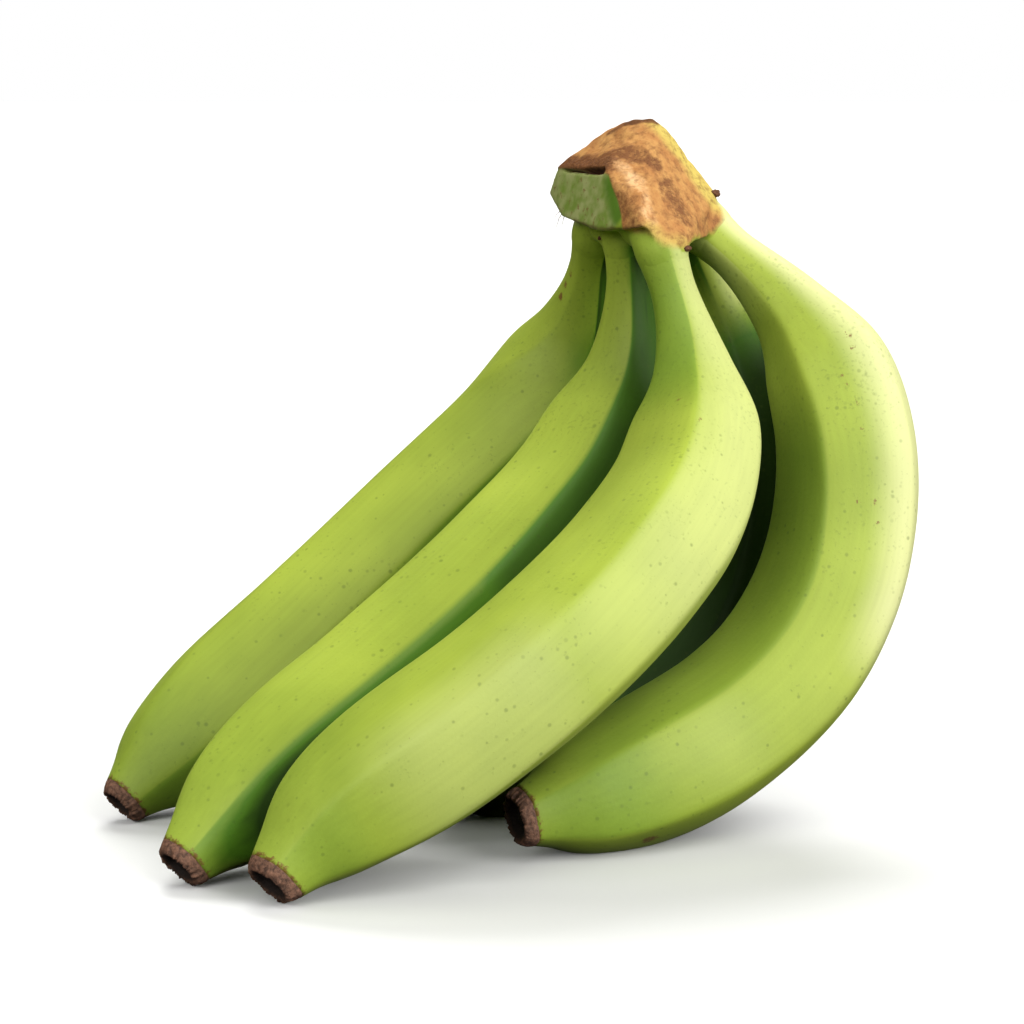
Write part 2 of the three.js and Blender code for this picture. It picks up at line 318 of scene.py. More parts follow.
def hermite(value, places, heights):
    """A curve through given points whose slope at each is the mean of its two sides."""
    places, heights = np.array(places, float), np.array(heights, float)
    secants = np.diff(heights) / np.diff(places)
    slopes = np.concatenate([secants[:1], (secants[1:] + secants[:-1]) / 2, secants[-1:]])
    value = np.asarray(value, float)
    i = np.clip(np.searchsorted(places, value, side="right") - 1, 0, len(places) - 2)
    step = places[i + 1] - places[i]
    t = (value - places[i]) / step
    return ((2 * t**3 - 3 * t**2 + 1) * heights[i] + (t**3 - 2 * t**2 + t) * step * slopes[i]
            + (3 * t**2 - 2 * t**3) * heights[i + 1] + (t**3 - t**2) * step * slopes[i + 1])


def noise_at(points, size, seed=0.0):
    """Smooth noise from -1 to 1 at points, its lumps about `size` across."""
    shift = Vector((seed, 1.7 * seed, -0.6 * seed))
    return np.array([noise.noise(Vector(p) / size + shift) for p in points])


def between(first, second, angle):
    """The direction between two perpendicular ones, turned by an angle from the first."""
    angle = np.radians(angle)[..., None]
    return first * np.cos(angle) + second * np.sin(angle)


def distance_to_line(points, a, b):
    """How far points are from the straight line between a and b."""
    a, b = np.array(a, float), np.array(b, float)
    t = np.clip((points - a) @ (b - a) / ((b - a) @ (b - a)), 0, 1)
    return np.linalg.norm(points - a - t[:, None] * (b - a), axis=1)


def distance_to_lines(points, corners):
    """How far points are from a line through corners."""
    return np.min([distance_to_line(points, a, b) for a, b in zip(corners, corners[1:])], axis=0)


def nearness(points, corners, inner, outer, uneven=0):
    """1 up to `inner` from a line through corners, and falling to 0 at `outer`."""
    return 1 - smoothstep(distance_to_lines(points, corners) + uneven, inner, outer)


def circle(count):
    """Angles of points evenly round a circle."""
    return np.arange(count) * 2 * math.pi / count


def ring_points(centres, inward, sideways, angle, radius):
    """Rings of points round centres, each at an angle and a radius."""
    return (centres + inward[:, None, :] * (radius * np.cos(angle))[..., None]
            + sideways[:, None, :] * (radius * np.sin(angle))[..., None])


# ---- the shape of a finger -----------------------------------------------------------


def finger_frames(finger, share):
    """Along, inward and sideways directions of a finger at shares of its length."""
    share = np.asarray(share, float)
    h = math.radians(finger["heading"])
    level = np.array([math.cos(h), math.sin(h), 0])
    stalk = between(level, np.array([0, 0, -1.0]), np.array(finger["dip"]))
    across = np.array([-math.sin(h), math.cos(h), 0])
    roll = math.radians(finger["roll"])
    inward = (across * math.cos(roll) + np.cross(stalk, across) * math.sin(roll)
              + stalk * (stalk @ across) * (1 - math.cos(roll)))
    sideways = np.cross(stalk, inward)
    bend = (finger["neck"] * smoothstep(share, NECK_START, NECK_END)
            + finger["body"] * smoothstep(share, BODY_START, 1))
    lean = (finger["sway"] * smoothstep(share, 0, 1)
            + finger["tip_turn"] * smoothstep(share, TIP_TURN_START, 1))
    bent = between(stalk, inward, bend)
    return (between(bent, sideways, lean), between(inward, stalk, -bend),
            between(sideways, bent, -lean))


def finger_line(finger, shares):
    """Centre points at shares of a finger's length, which may start before 0."""
    middles = (np.arange(LINE_STEPS) + 0.5) / LINE_STEPS
    along = finger_frames(finger, middles)[0] * finger["length"] / LINE_STEPS
    line = np.vstack([np.zeros(3), np.cumsum(along, axis=0)]) + np.array(finger["start"], float)
    grid = np.linspace(0, 1, LINE_STEPS + 1)
    points = np.stack([np.interp(shares, grid, line[:, k]) for k in range(3)], axis=1)
    points += np.outer(1 - smoothstep(shares, SHIFT_START, SHIFT_END),
                       finger.get("shift", (0, 0, 0)))
    before = np.minimum(shares, 0)[:, None] * finger["length"]
    return points + before * finger_frames(finger, 0.0)[0]


def section_frames(finger, share):
    """The same directions for the skin, whose end turns to face the way the flower end does."""
    last = finger_frames(finger, 1.0)[0]
    nose = np.array(finger["nose"]) / np.linalg.norm(finger["nose"])
    axis = np.cross(last, nose)
    size = max(np.linalg.norm(axis), 1e-9)
    angle = math.atan2(size, last @ nose) * smoothstep(share, NOSE_START, NOSE_END)[..., None]
    axis = axis / size
    return [d * np.cos(angle) + np.cross(axis, d) * np.sin(angle)
            + axis * (d @ axis)[..., None] * (1 - np.cos(angle))
            for d in finger_frames(finger, share)]


def section_factor(around, share):
    """How much of the ridge radius a rounded pentagon has at an angle round the section."""
    face = 2 * math.pi / RIDGES
    off = np.abs(np.mod(around, face) - face / 2)
    body = smoothstep(share, RIDGED_START, RIDGED_FULL) * (
        1 - EVENNESS * smoothstep(share, EVEN_START, EVEN_FULL))
    fillet = np.radians(STALK_FILLET + (RIDGE_FILLET - STALK_FILLET) * body)
    off = face / 2 - np.sqrt((face / 2 - off) ** 2 + fillet ** 2) + fillet * FILLET_RISE
    sharpness = STALK_SHARPNESS + (RIDGE_SHARPNESS - STALK_SHARPNESS) * body
    return RIDGE_SWELL * (math.cos(face / 2) / np.cos(off)) ** sharpness


def ridge_turn(finger, shares):
    """How far a finger's ridges are turned round it, in radians."""
    swing = hermite(np.clip(shares, 0, 1), *finger.get("swing", ([0, 1], [0, 0])))
    return np.radians(finger["ridge"] + swing
                      + finger["twist"] * smoothstep(shares, TWIST_START, TWIST_END))


def finger_radius(finger, share):
    """Radius over the ridges, with a slimmer stalk and a straight taper to the flower end."""
    radius = hermite(np.clip(share, 0, 1), PROFILE_SHARES, PROFILE_RADII) * finger["girth"]
    slim = finger["stalk"]
    radius = radius * (slim + (1 - slim) * smoothstep(share, SLIM_START, SLIM_END))
    from_end = (1 - share) * finger["length"]
    taper = finger["end"] + END_TAPER * from_end
    return radius + (taper - radius) * smoothstep(from_end, TAPER_START, TAPER_FULL)


# ---- meshes and nodes ----------------------------------------------------------------


def mesh_object(name, points, faces, attributes=None):
    """A smooth-shaded object from points in millimetres, on the CAD's own body."""
    mesh = bpy.data.meshes.new(name)
    mesh.from_pydata([tuple(p) for p in np.asarray(points) * MM], [], faces)
    for key, values in (attributes or {}).items():
        values = np.asarray(values, np.float32)
        kind = "FLOAT" if values.ndim == 1 else "FLOAT_VECTOR"
        layer = mesh.attributes.new(key, kind, "POINT")
        layer.data.foreach_set("value" if values.ndim == 1 else "vector", values.ravel())
    mesh.polygons.foreach_set("use_smooth", [True] * len(mesh.polygons))
    mesh.update()
    piece = bpy.data.objects.new(name, mesh)
    bpy.context.scene.collection.objects.link(piece)
    return piece


def tube_faces(rings, sides, closed=True):
    """Quads between rings of points, fanned to one extra point at each end if closed."""
    faces = []
    for r in range(rings - 1):
        low, high = r * sides, (r + 1) * sides
        for s in range(sides):
            t = (s + 1) % sides
            faces.append((low + s, low + t, high + t, high + s))
    if closed:
        first, base = rings * sides, (rings - 1) * sides
        faces += [(first, (s + 1) % sides, s) for s in range(sides)]
        faces += [(first + 1, base + s, base + (s + 1) % sides) for s in range(sides)]
    return faces


def add_node(tree, kind, sockets=None, **settings):
    """Adds a node with its settings, and sets or links its input sockets."""
    node = tree.nodes.new(kind)
    for key, value in settings.items():
        setattr(node, key, value)
    for key, value in (sockets or {}).items():
        socket = node.inputs[key]
        if isinstance(value, bpy.types.NodeSocket):
            tree.links.new(value, socket)
        else:
            socket.default_value = value
    return node


def new_material(name):
    """An empty material with its shader and output."""
    material = bpy.data.materials.new(name)
    material.use_nodes = True
    tree = material.node_tree
    tree.nodes.clear()
    shader = add_node(tree, "ShaderNodeBsdfPrincipled")
    add_node(tree, "ShaderNodeOutputMaterial", {"Surface": shader.outputs[0]})
    return material, tree, shader


# ---- settings ------------------------------------------------------------------------


def colour_setting(name, description, code):
    """A colour property with an sRGB hex default."""
    return bpy.props.FloatVectorProperty(name=name, description=description, subtype="COLOR",
                                         size=4, min=0, max=1, default=linear(code))


class PeelLook(bpy.types.PropertyGroup):
    """Sizes and colours of the peel."""
    fresh: colour_setting("Fresh green", "Main colour of the unripe peel", "99a93b")
    deep: colour_setting("Deep green", "Greener patches of the peel", "899a34")
    # painted shade: darker, greener peel where a finger faces its neighbour
    painted_shade: colour_setting(
        "Sheltered green", "Greener peel where a finger faces its neighbour", "4c7619")
    # painted light: paler peel on the side facing the lights
    lit_side: colour_setting(
        "Sunward side", "Paler peel on the side that faced the sun", "e6e4ac")
    # painted shade, near black, deep between two fingers
    painted_deep_shade: colour_setting("Inmost green", "Darkest peel, deep between two fingers", "1c3010")
    speckle: colour_setting("Speckle colour", "Small dark marks on the peel", "44561f")
    mark: colour_setting("Mark colour", "Brown scuffs and flecks", "6e4a26")
    speckle_size: bpy.props.FloatProperty(
        name="Speckle size", description="Largest radius of a speckle",
        unit="LENGTH", min=0.0001, max=0.003, default=0.0008)
    speckle_spacing: bpy.props.FloatProperty(
        name="Speckle spacing", description="Mean distance between two places for a speckle",
        unit="LENGTH", min=0.001, max=0.03, default=0.0024)
    lump: bpy.props.FloatProperty(
        name="Lump height", description="How far the peel swells and sinks along a finger",
        unit="LENGTH", min=0, max=0.002, default=0.0003)


class CrownLook(bpy.types.PropertyGroup):
    """Sizes and colours of the cut crown."""
    dry: colour_setting("Dry tissue", "Tan colour of the dried cut", "a87440")
    dry_pale: colour_setting("Pale tissue", "Paler fibres of the dried cut", "ba8a4e")
    # painted highlight along the ridge beside the torn facet
    ridge_highlight_tint: colour_setting(
        "Bright ridge", "Palest tissue, on the ridge beside the torn facet", "d9ae7c")
    pepper: colour_setting("Pepper", "Fine dark specks in the blotches", "4f3018")
    stain: colour_setting("Stain", "Brown blotches on the cut", "6e4426")
    fresh_cut: colour_setting("Yellow edge", "Less dried tissue along the right edge", "c2ac56")
    lip: colour_setting("Lip", "Greyer green peel of the lip under the cut", "6f8335")
    lip_scuff: colour_setting("Lip scuffs", "Pale scuffs on the lip", "959a60")
    lip_dark: colour_setting("Lip fold", "Darker green beside the torn facet", "50701f")
    # dark brown along torn edges, and painted shade in the crevice
    rim: colour_setting("Rim", "Dark line along torn edges and in the crevice", "4a2c1a")
    voxel: bpy.props.FloatProperty(
        name="Grain", description="Size of the crown's mesh faces",
        unit="LENGTH", min=0.0003, max=0.002, default=0.00055)


class FlowerEndLook(bpy.types.PropertyGroup):
    """Colours of the dried flower ends."""
    husk: colour_setting("Husk", "Dried brown rim", "694a38")
    pit: colour_setting("Pit", "Near-black hollow", "21160f")


class StageLook(bpy.types.PropertyGroup):
    """The floor, lights and camera."""
    floor: colour_setting("Floor", "Plain pale floor", "dededc")
    strength: bpy.props.FloatProperty(
        name="Lights", description="Scales all the soft lights together",
        min=0, default=1.0)
    surroundings: bpy.props.FloatProperty(
        name="Surroundings", description="Light from all round the fruit",
        min=0, default=0.0)
    softness: bpy.props.FloatProperty(
        name="Softness", description="How wide each light looks from the fruit",
        subtype="ANGLE", default=math.radians(40))
    lens: bpy.props.FloatProperty(
        name="Lens", description="Focal length for a 36 mm sensor",
        unit="CAMERA", min=20, max=400, default=127.6)
    distance: bpy.props.FloatProperty(
        name="Distance", description="From the camera to the middle of the fruit",
        unit="LENGTH", min=0.3, max=5, default=1.1)
    elevation: bpy.props.FloatProperty(
        name="Elevation", description="Height of the camera above the horizon",
        subtype="ANGLE", default=math.radians(8))


# ---- materials -----------------------------------------------------------------------

# A pattern's scale is its lumps a millimetre: 0.9 / MM has one about every 1.1 mm.


def peel_colour(tree, look):
    """Adds the peel's colour to a material and returns its socket."""
    place = add_node(tree, "ShaderNodeTexCoord").outputs["Object"]
    straight = add_node(tree, "ShaderNodeAttribute", attribute_name="straight").outputs["Vector"]
    painted_shade = add_node(tree, "ShaderNodeAttribute", attribute_name="painted_shade").outputs["Fac"]
    # patches about 40 mm across
    patches = add_node(tree, "ShaderNodeTexNoise", {
        "Vector": place, "Scale": 0.025 / MM, "Detail": 3.0})
    spread = add_node(tree, "ShaderNodeMapRange", {
        "Value": patches.outputs[0], "From Min": 0.35, "From Max": 0.65})
    ground = add_node(tree, "ShaderNodeMix", {
        0: spread.outputs[0], 6: tuple(look.fresh), 7: tuple(look.deep)}, data_type="RGBA")
    # painted shade: darker, greener peel where a finger faces its neighbour, near black deep
    # between fingers; painted light: paler peel on the side facing the lights
    closeness = add_node(tree, "ShaderNodeMapRange", {"Value": painted_shade})
    painted_deep_shade = add_node(tree, "ShaderNodeMapRange", {
        "Value": painted_shade, "From Min": 1.1, "From Max": 2.0, "To Max": 0.85})
    painted_light = add_node(tree, "ShaderNodeAttribute", attribute_name="painted_light")
    colour = ground.outputs[2]
    for share, tint in ((closeness.outputs[0], look.painted_shade),
                        (painted_deep_shade.outputs[0], look.painted_deep_shade), (painted_light.outputs["Fac"], look.lit_side)):
        colour = add_node(tree, "ShaderNodeMix", {
            0: share, 6: colour, 7: tuple(tint)}, data_type="RGBA").outputs[2]
    # streaks about 1.5 mm wide and 40 mm long
    stretched = add_node(tree, "ShaderNodeVectorMath", {
        0: straight, 1: (0.65 / MM, 0.65 / MM, 0.025 / MM)}, operation="MULTIPLY")
    streaks = add_node(tree, "ShaderNodeTexNoise", {
        "Vector": stretched.outputs[0], "Scale": 1.0, "Detail": 2.0})
    streak_tone = add_node(tree, "ShaderNodeMapRange", {
        "Value": streaks.outputs[0], "From Min": 0.3, "From Max": 0.7,
        "To Min": 0.96, "To Max": 1.03})
    toned = add_node(tree, "ShaderNodeVectorMath", {
        0: colour, 3: streak_tone.outputs[0]}, operation="SCALE")
    # speckles: one feature point a cell, a share of the cells drawn, some fainter than others
    cells = add_node(tree, "ShaderNodeTexVoronoi", {
        "Vector": place, "Scale": 1 / look.speckle_spacing})
    picked = add_node(tree, "ShaderNodeSeparateColor", {"Color": cells.outputs["Color"]})
    crowded = add_node(tree, "ShaderNodeTexNoise", {
        "Vector": place, "Scale": 0.04 / MM, "Detail": 1.0})
    drawn = add_node(tree, "ShaderNodeMath", {
        0: picked.outputs[0], 1: crowded.outputs[0]}, operation="ADD")
    reach = add_node(tree, "ShaderNodeMapRange", {
        "Value": drawn.outputs[0], "From Min": 0.9, "From Max": 1.45, "To Min": 0.0,
        "To Max": look.speckle_size / look.speckle_spacing})
    dot = add_node(tree, "ShaderNodeMath", {
        0: reach.outputs[0], 1: cells.outputs["Distance"]}, operation="SUBTRACT")
    strength = add_node(tree, "ShaderNodeMapRange", {
        "Value": picked.outputs[1], "To Min": 0.12, "To Max": 0.45})
    dot_edge = add_node(tree, "ShaderNodeMapRange", {
        "Value": dot.outputs[0], "From Min": 0.0, "From Max": 0.18,
        "To Max": strength.outputs[0]})
    # faint ragged flecks up to 1 mm, thicker in places
    flecks = add_node(tree, "ShaderNodeTexNoise", {
        "Vector": place, "Scale": 0.9 / MM, "Detail": 2.0, "Roughness": 0.5})
    upper = add_node(tree, "ShaderNodeMapRange", {
        "Value": add_node(tree, "ShaderNodeAttribute", attribute_name="share").outputs["Fac"],
        "From Min": 0.25, "From Max": 0.6, "To Min": 0.02, "To Max": -0.05})
    scattered = add_node(tree, "ShaderNodeMath", {
        0: flecks.outputs[0], 1: upper.outputs[0]}, operation="ADD")
    thick = add_node(tree, "ShaderNodeMath", {
        0: crowded.outputs[0], 1: 0.22, 2: scattered.outputs[0]}, operation="MULTIPLY_ADD")
    fleck = add_node(tree, "ShaderNodeMapRange", {
        "Value": thick.outputs[0], "From Min": 0.72, "From Max": 0.84, "To Max": 0.2})
    # brown marks break up at their edges
    scar = add_node(tree, "ShaderNodeAttribute", attribute_name="scar").outputs["Fac"]
    crumble = add_node(tree, "ShaderNodeTexNoise", {
        "Vector": place, "Scale": 0.8 / MM, "Detail": 3.0, "Roughness": 0.6})
    broken = add_node(tree, "ShaderNodeMath", {
        0: scar, 1: 0.45, 2: crumble.outputs[0]}, operation="MULTIPLY_ADD")
    browned = add_node(tree, "ShaderNodeMapRange", {
        "Value": broken.outputs[0], "From Min": 0.72, "From Max": 0.88, "To Max": 0.9})
    colour = toned.outputs[0]
    for share, tint in ((dot_edge, look.speckle), (fleck, look.speckle), (browned, look.mark)):
        colour = add_node(tree, "ShaderNodeMix", {
            0: share.outputs[0], 6: colour, 7: tuple(tint)}, data_type="RGBA").outputs[2]
    return colour


def wax_finish(tree, shader):
    """Gives a shader the peel's waxy gloss, with pores about 1 mm apart, and returns the
    relief's socket."""
    place = add_node(tree, "ShaderNodeTexCoord").outputs["Object"]
    pores = add_node(tree, "ShaderNodeTexNoise", {
        "Vector": place, "Scale": 0.9 / MM, "Detail": 2.0})
    relief = add_node(tree, "ShaderNodeBump", {
        "Height": pores.outputs[0], "Strength": 0.25, "Distance": 0.2 * MM})
    shader.inputs["Roughness"].default_value = 0.55
    shader.inputs["IOR"].default_value = 1.36
    shader.inputs["Sheen Weight"].default_value = 0.02
    shader.inputs["Sheen Roughness"].default_value = 0.35
    return relief.outputs[0]


def peel_material(look):
    """Waxy unripe plantain peel, grown and not made: a soft sheen over yellow-green flesh
    with faint lengthwise streaks and dark pinhead speckles."""
    material, tree, shader = new_material("waxy_green_peel")
    tree.links.new(peel_colour(tree, look), shader.inputs["Base Color"])
    tree.links.new(wax_finish(tree, shader), shader.inputs["Normal"])
    return material


def crown_material(look, peel_look):
    """Knife-cut crown left to dry in air: tan corky tissue with brown blotches, a yellower
    edge where it dried less, and green peel below the cut."""
    material, tree, shader = new_material("dried_cut_crown")
    place = add_node(tree, "ShaderNodeTexCoord").outputs["Object"]
    masks = {name: add_node(tree, "ShaderNodeAttribute", attribute_name=name).outputs["Fac"]
             for name in ("cut", "stain", "yellow", "ridge_highlight", "edge", "lip", "fold")}
    # fibres run down the cut, about 5 mm wide and three times as long
    drawn = add_node(tree, "ShaderNodeVectorMath", {
        0: place, 1: (0.2 / MM, 0.2 / MM, 0.07 / MM)}, operation="MULTIPLY")
    fibres = add_node(tree, "ShaderNodeTexNoise", {
        "Vector": drawn.outputs[0], "Scale": 1.0, "Detail": 5.0, "Roughness": 0.6})
    pale = add_node(tree, "ShaderNodeMapRange", {
        "Value": fibres.outputs[0], "From Min": 0.4, "From Max": 0.62})
    tissue = add_node(tree, "ShaderNodeMix", {
        0: pale.outputs[0], 6: tuple(look.dry), 7: tuple(look.dry_pale)}, data_type="RGBA")
    # painted highlight: the paler fibres lighter still along the ridge beside the torn facet
    lit = add_node(tree, "ShaderNodeMath", {
        0: masks["ridge_highlight"], 1: pale.outputs[0]}, operation="MULTIPLY")
    # mottles about 2 mm across, thickest where the blotches are
    mottle = add_node(tree, "ShaderNodeTexNoise", {
        "Vector": place, "Scale": 0.45 / MM, "Detail": 4.0, "Roughness": 0.65})
    reach = add_node(tree, "ShaderNodeMath", {
        0: masks["stain"], 1: 0.32, 2: mottle.outputs[0]}, operation="MULTIPLY_ADD")
    brown = add_node(tree, "ShaderNodeMapRange", {
        "Value": reach.outputs[0], "From Min": 0.46, "From Max": 0.76, "To Max": 0.9})
    # darker pepper under 1 mm across inside the blotches
    pepper = add_node(tree, "ShaderNodeTexNoise", {
        "Vector": place, "Scale": 1.5 / MM, "Detail": 2.0, "Roughness": 0.5})
    peppered = add_node(tree, "ShaderNodeMath", {
        0: masks["stain"], 1: 0.2, 2: pepper.outputs[0]}, operation="MULTIPLY_ADD")
    dark = add_node(tree, "ShaderNodeMapRange", {
        "Value": peppered.outputs[0], "From Min": 0.7, "From Max": 0.84, "To Max": 0.7})
    dry = tissue.outputs[2]
    for share, tint in ((lit.outputs[0], look.ridge_highlight_tint), (masks["yellow"], look.fresh_cut),
                        (brown.outputs[0], look.stain), (dark.outputs[0], look.pepper)):
        dry = add_node(tree, "ShaderNodeMix", {
            0: share, 6: dry, 7: tuple(tint)}, data_type="RGBA").outputs[2]
    # the lip's peel is duller and scuffed, and darker beside the torn facet
    blotches = add_node(tree, "ShaderNodeTexNoise", {
        "Vector": place, "Scale": 0.23 / MM, "Detail": 2.0, "Roughness": 0.5})
    scuff = add_node(tree, "ShaderNodeMapRange", {
        "Value": blotches.outputs[0], "From Min": 0.35, "From Max": 0.65})
    speck = add_node(tree, "ShaderNodeMapRange", {
        "Value": mottle.outputs[0], "From Min": 0.58, "From Max": 0.68, "To Max": 0.65})
    lip = tuple(look.lip)
    for share, tint in ((scuff.outputs[0], look.lip_scuff), (speck.outputs[0], look.stain),
                        (masks["fold"], look.lip_dark)):
        lip = add_node(tree, "ShaderNodeMix", {
            0: share, 6: lip, 7: tuple(tint)}, data_type="RGBA").outputs[2]
    # peel below, the lip, the cut above, and over all of them the dark rim, which in the crevice
    # is painted shade
    colour = peel_colour(tree, peel_look)
    for share, tint in ((masks["lip"], lip), (masks["cut"], dry),
                        (masks["edge"], tuple(look.rim))):
        colour = add_node(tree, "ShaderNodeMix", {
            0: share, 6: colour, 7: tint}, data_type="RGBA").outputs[2]
    tree.links.new(colour, shader.inputs["Base Color"])
    grain = add_node(tree, "ShaderNodeTexNoise", {
        "Vector": place, "Scale": 0.9 / MM, "Detail": 4.0, "Roughness": 0.6})
    height = add_node(tree, "ShaderNodeMath", {
        0: grain.outputs[0], 1: masks["cut"]}, operation="MULTIPLY")
    relief = add_node(tree, "ShaderNodeBump", {
        "Height": height.outputs[0], "Strength": 0.6, "Distance": 0.6 * MM,
        "Normal": wax_finish(tree, shader)})
    tree.links.new(relief.outputs[0], shader.inputs["Normal"])
    gloss = add_node(tree, "ShaderNodeMapRange", {
        "Value": masks["cut"], "To Min": shader.inputs["Roughness"].default_value,
        "To Max": 0.8})
    tree.links.new(gloss.outputs[0], shader.inputs["Roughness"])
    return material


def scrap_material(look):
    """Torn scraps of dried tissue: crumbly dark red-brown fibres."""
    material, tree, shader = new_material("torn_dry_scrap")
    place = add_node(tree, "ShaderNodeTexCoord").outputs["Object"]
    crumbs = add_node(tree, "ShaderNodeTexNoise", {
        "Vector": place, "Scale": 1.3 / MM, "Detail": 4.0, "Roughness": 0.65})
    spread = add_node(tree, "ShaderNodeMapRange", {
        "Value": crumbs.outputs[0], "From Min": 0.4, "From Max": 0.65})
    tone = add_node(tree, "ShaderNodeMix", {
        0: spread.outputs[0], 6: tuple(look.rim), 7: tuple(look.stain)}, data_type="RGBA")
    tree.links.new(tone.outputs[2], shader.inputs["Base Color"])
    relief = add_node(tree, "ShaderNodeBump", {
        "Height": crumbs.outputs[0], "Strength": 0.6, "Distance": 0.4 * MM})
    tree.links.new(relief.outputs[0], shader.inputs["Normal"])
    shader.inputs["Roughness"].default_value = 0.85
    return material


def flower_end_material(look):
    """Dried flower remains: dull, fibrous and dark brown, near black in the hollow."""
    material, tree, shader = new_material("dried_flower_husk")
    place = add_node(tree, "ShaderNodeTexCoord").outputs["Object"]
    depth = add_node(tree, "ShaderNodeAttribute", attribute_name="depth").outputs["Fac"]
    fibres = add_node(tree, "ShaderNodeTexNoise", {
        "Vector": place, "Scale": 0.7 / MM, "Detail": 4.0, "Roughness": 0.65})
    tone = add_node(tree, "ShaderNodeMapRange", {
        "Value": fibres.outputs[0], "From Min": 0.35, "From Max": 0.65, "To Min": 0.45,
        "To Max": 1.5})
    husk = add_node(tree, "ShaderNodeVectorMath", {
        0: tuple(look.husk)[:3], 3: tone.outputs[0]}, operation="SCALE")
    mixed = add_node(tree, "ShaderNodeMix", {
        0: depth, 6: husk.outputs[0], 7: tuple(look.pit)}, data_type="RGBA")
    tree.links.new(mixed.outputs[2], shader.inputs["Base Color"])
    relief = add_node(tree, "ShaderNodeBump", {
        "Height": fibres.outputs[0], "Strength": 0.7, "Distance": 0.6 * MM})
    tree.links.new(relief.outputs[0], shader.inputs["Normal"])
    shader.inputs["Roughness"].default_value = 0.85
    return material


# ---- pieces --------------------------------------------------------------------------


def finger_surface(finger, shares, sides):
    """Points of a finger's surface, ring by ring, with each point's angle and radius."""
    line = finger_line(finger, shares)
    _, inward, sideways = section_frames(finger, np.clip(shares, 0, 1))
    around = circle(sides)
    angle = around[None, :] + ridge_turn(finger, shares)[:, None]
    factor = section_factor(around[None, :], shares[:, None])
    radius = finger_radius(finger, shares)[:, None] * factor
    if "pressed" in finger:
        side, depth, start, end = finger["pressed"]
        out = ring_points(0, inward, sideways, angle, 1)
        middle = (smoothstep(shares, start, start + PRESS_FADE)
                  * smoothstep(shares, end, end - PRESS_FADE))
        radius = radius - depth * smoothstep(out @ side, PRESS_EDGE, 1) * middle[:, None]
    points = ring_points(line[:, None, :], inward, sideways, angle, radius)
    return points, around, radius, line


def mesh_lists(mesh):
    """A mesh's points in millimetres and its faces."""
    points = np.empty(len(mesh.vertices) * 3)
    mesh.vertices.foreach_get("co", points)
    return points.reshape(-1, 3) / MM, [tuple(p.vertices) for p in mesh.polygons]


def hand_tree(crown):
    """All the fingers and a crown, points and faces, in one search tree for rays."""
    places, faces = [crown[0]], list(crown[1])
    shares = np.linspace(0, 1, TREE_RINGS)
    for finger in FINGERS:
        first = sum(len(p) for p in places)
        faces += [[first + i for i in face]
                  for face in tube_faces(TREE_RINGS, TREE_SIDES, closed=False)]
        places.append(finger_surface(finger, shares, TREE_SIDES)[0].reshape(-1, 3))
    return BVHTree.FromPolygons(np.vstack(places).tolist(), faces)


def sheltered_share(points, outward, tree, rays):
    """How far each point of skin is hemmed in by other peel close by, which sets the painted
    shade: 0 or less is open,
    1 is hemmed in and 2 is deep inside. Skin that looks away from the sky counts as more hemmed
    in."""
    count = np.arange(rays) + 0.5
    out, swing = np.sqrt(count / rays), count * math.pi * (3 - math.sqrt(5))
    fan = np.stack([out * np.cos(swing), out * np.sin(swing), np.sqrt(1 - count / rays)], axis=1)
    share = np.zeros(len(points))
    for i, (point, up) in enumerate(zip(points, outward)):
        across = np.cross(up, ASKEW)
        across /= np.linalg.norm(across)
        start = Vector(point + RAY_LIFT * up)
        for ray in fan @ np.array([across, np.cross(up, across), up]):
            distance = tree.ray_cast(start, Vector(ray), SHELTER_REACH)[3]
            if distance is not None:
                share[i] += (1 - distance / SHELTER_REACH) / rays
    away = smoothstep(-outward @ SKYWARD, SKY_START, SKY_FULL)
    share = share * (SKY_LEAST + SKY_MORE * away)
    return (share - SHELTER_START) / (SHELTER_FULL - SHELTER_START)


def sheltered_rings(points, outward, tree):
    """The same for rings of points, found on a coarser grid."""
    rings = np.arange(0, len(points), RING_STEP)
    sides = np.arange(0, points.shape[1], SIDE_STEP)
    coarse = np.ix_(rings, sides)
    share = sheltered_share(points[coarse].reshape(-1, 3), outward[coarse].reshape(-1, 3), tree,
                            PEEL_RAYS).reshape(len(rings), len(sides))
    share = np.array([np.interp(np.arange(len(points)), rings, column) for column in share.T]).T
    closed = np.hstack([share, share[:, :1]])
    whole = np.append(sides, points.shape[1])
    return np.array([np.interp(np.arange(points.shape[1]), whole, row) for row in closed])


def ring_normals(points, centres):
    """Outward directions of the skin at rings of points."""
    along = np.gradient(points, axis=0)
    normal = np.cross(np.roll(points, -1, axis=1) - np.roll(points, 1, axis=1), along)
    normal /= np.linalg.norm(normal, axis=2)[..., None]
    return normal * np.sign(np.sum(normal * (points - centres[:, None, :]), axis=2))[..., None]


def table_faces(table, number, shares, around, fade):
    """How strongly a table of faces marks a finger's skin, ring by ring."""
    width = 2 * math.pi / RIDGES
    share = np.zeros((len(shares), len(around)))
    for finger, face, start, end, strength in table:
        if finger == number:
            off = np.abs(np.mod(around - face * width, 2 * math.pi) - width / 2)
            inside = 1 - smoothstep(off, width / 2 - FACE_INSET, width / 2 + fade)
            run = smoothstep(shares, start - RUN_FADE, start + RUN_FADE) * (
                1 - smoothstep(shares, end - RUN_FADE, end + RUN_FADE))
            share = np.maximum(share, strength * np.outer(run, inside))
    return share


def joint_shelter(painted_shade, unshaded_faces, shaded_faces):
    """The painted shade: shelter found by rays, less on faces marked for less of it, more on
    faces marked for more.
    """
    painted_shade = painted_shade * (1 - unshaded_faces)
    both = np.clip(np.minimum(painted_shade, shaded_faces), 0, 1)
    return np.maximum(painted_shade, shaded_faces) + BOTH_SHARE * both


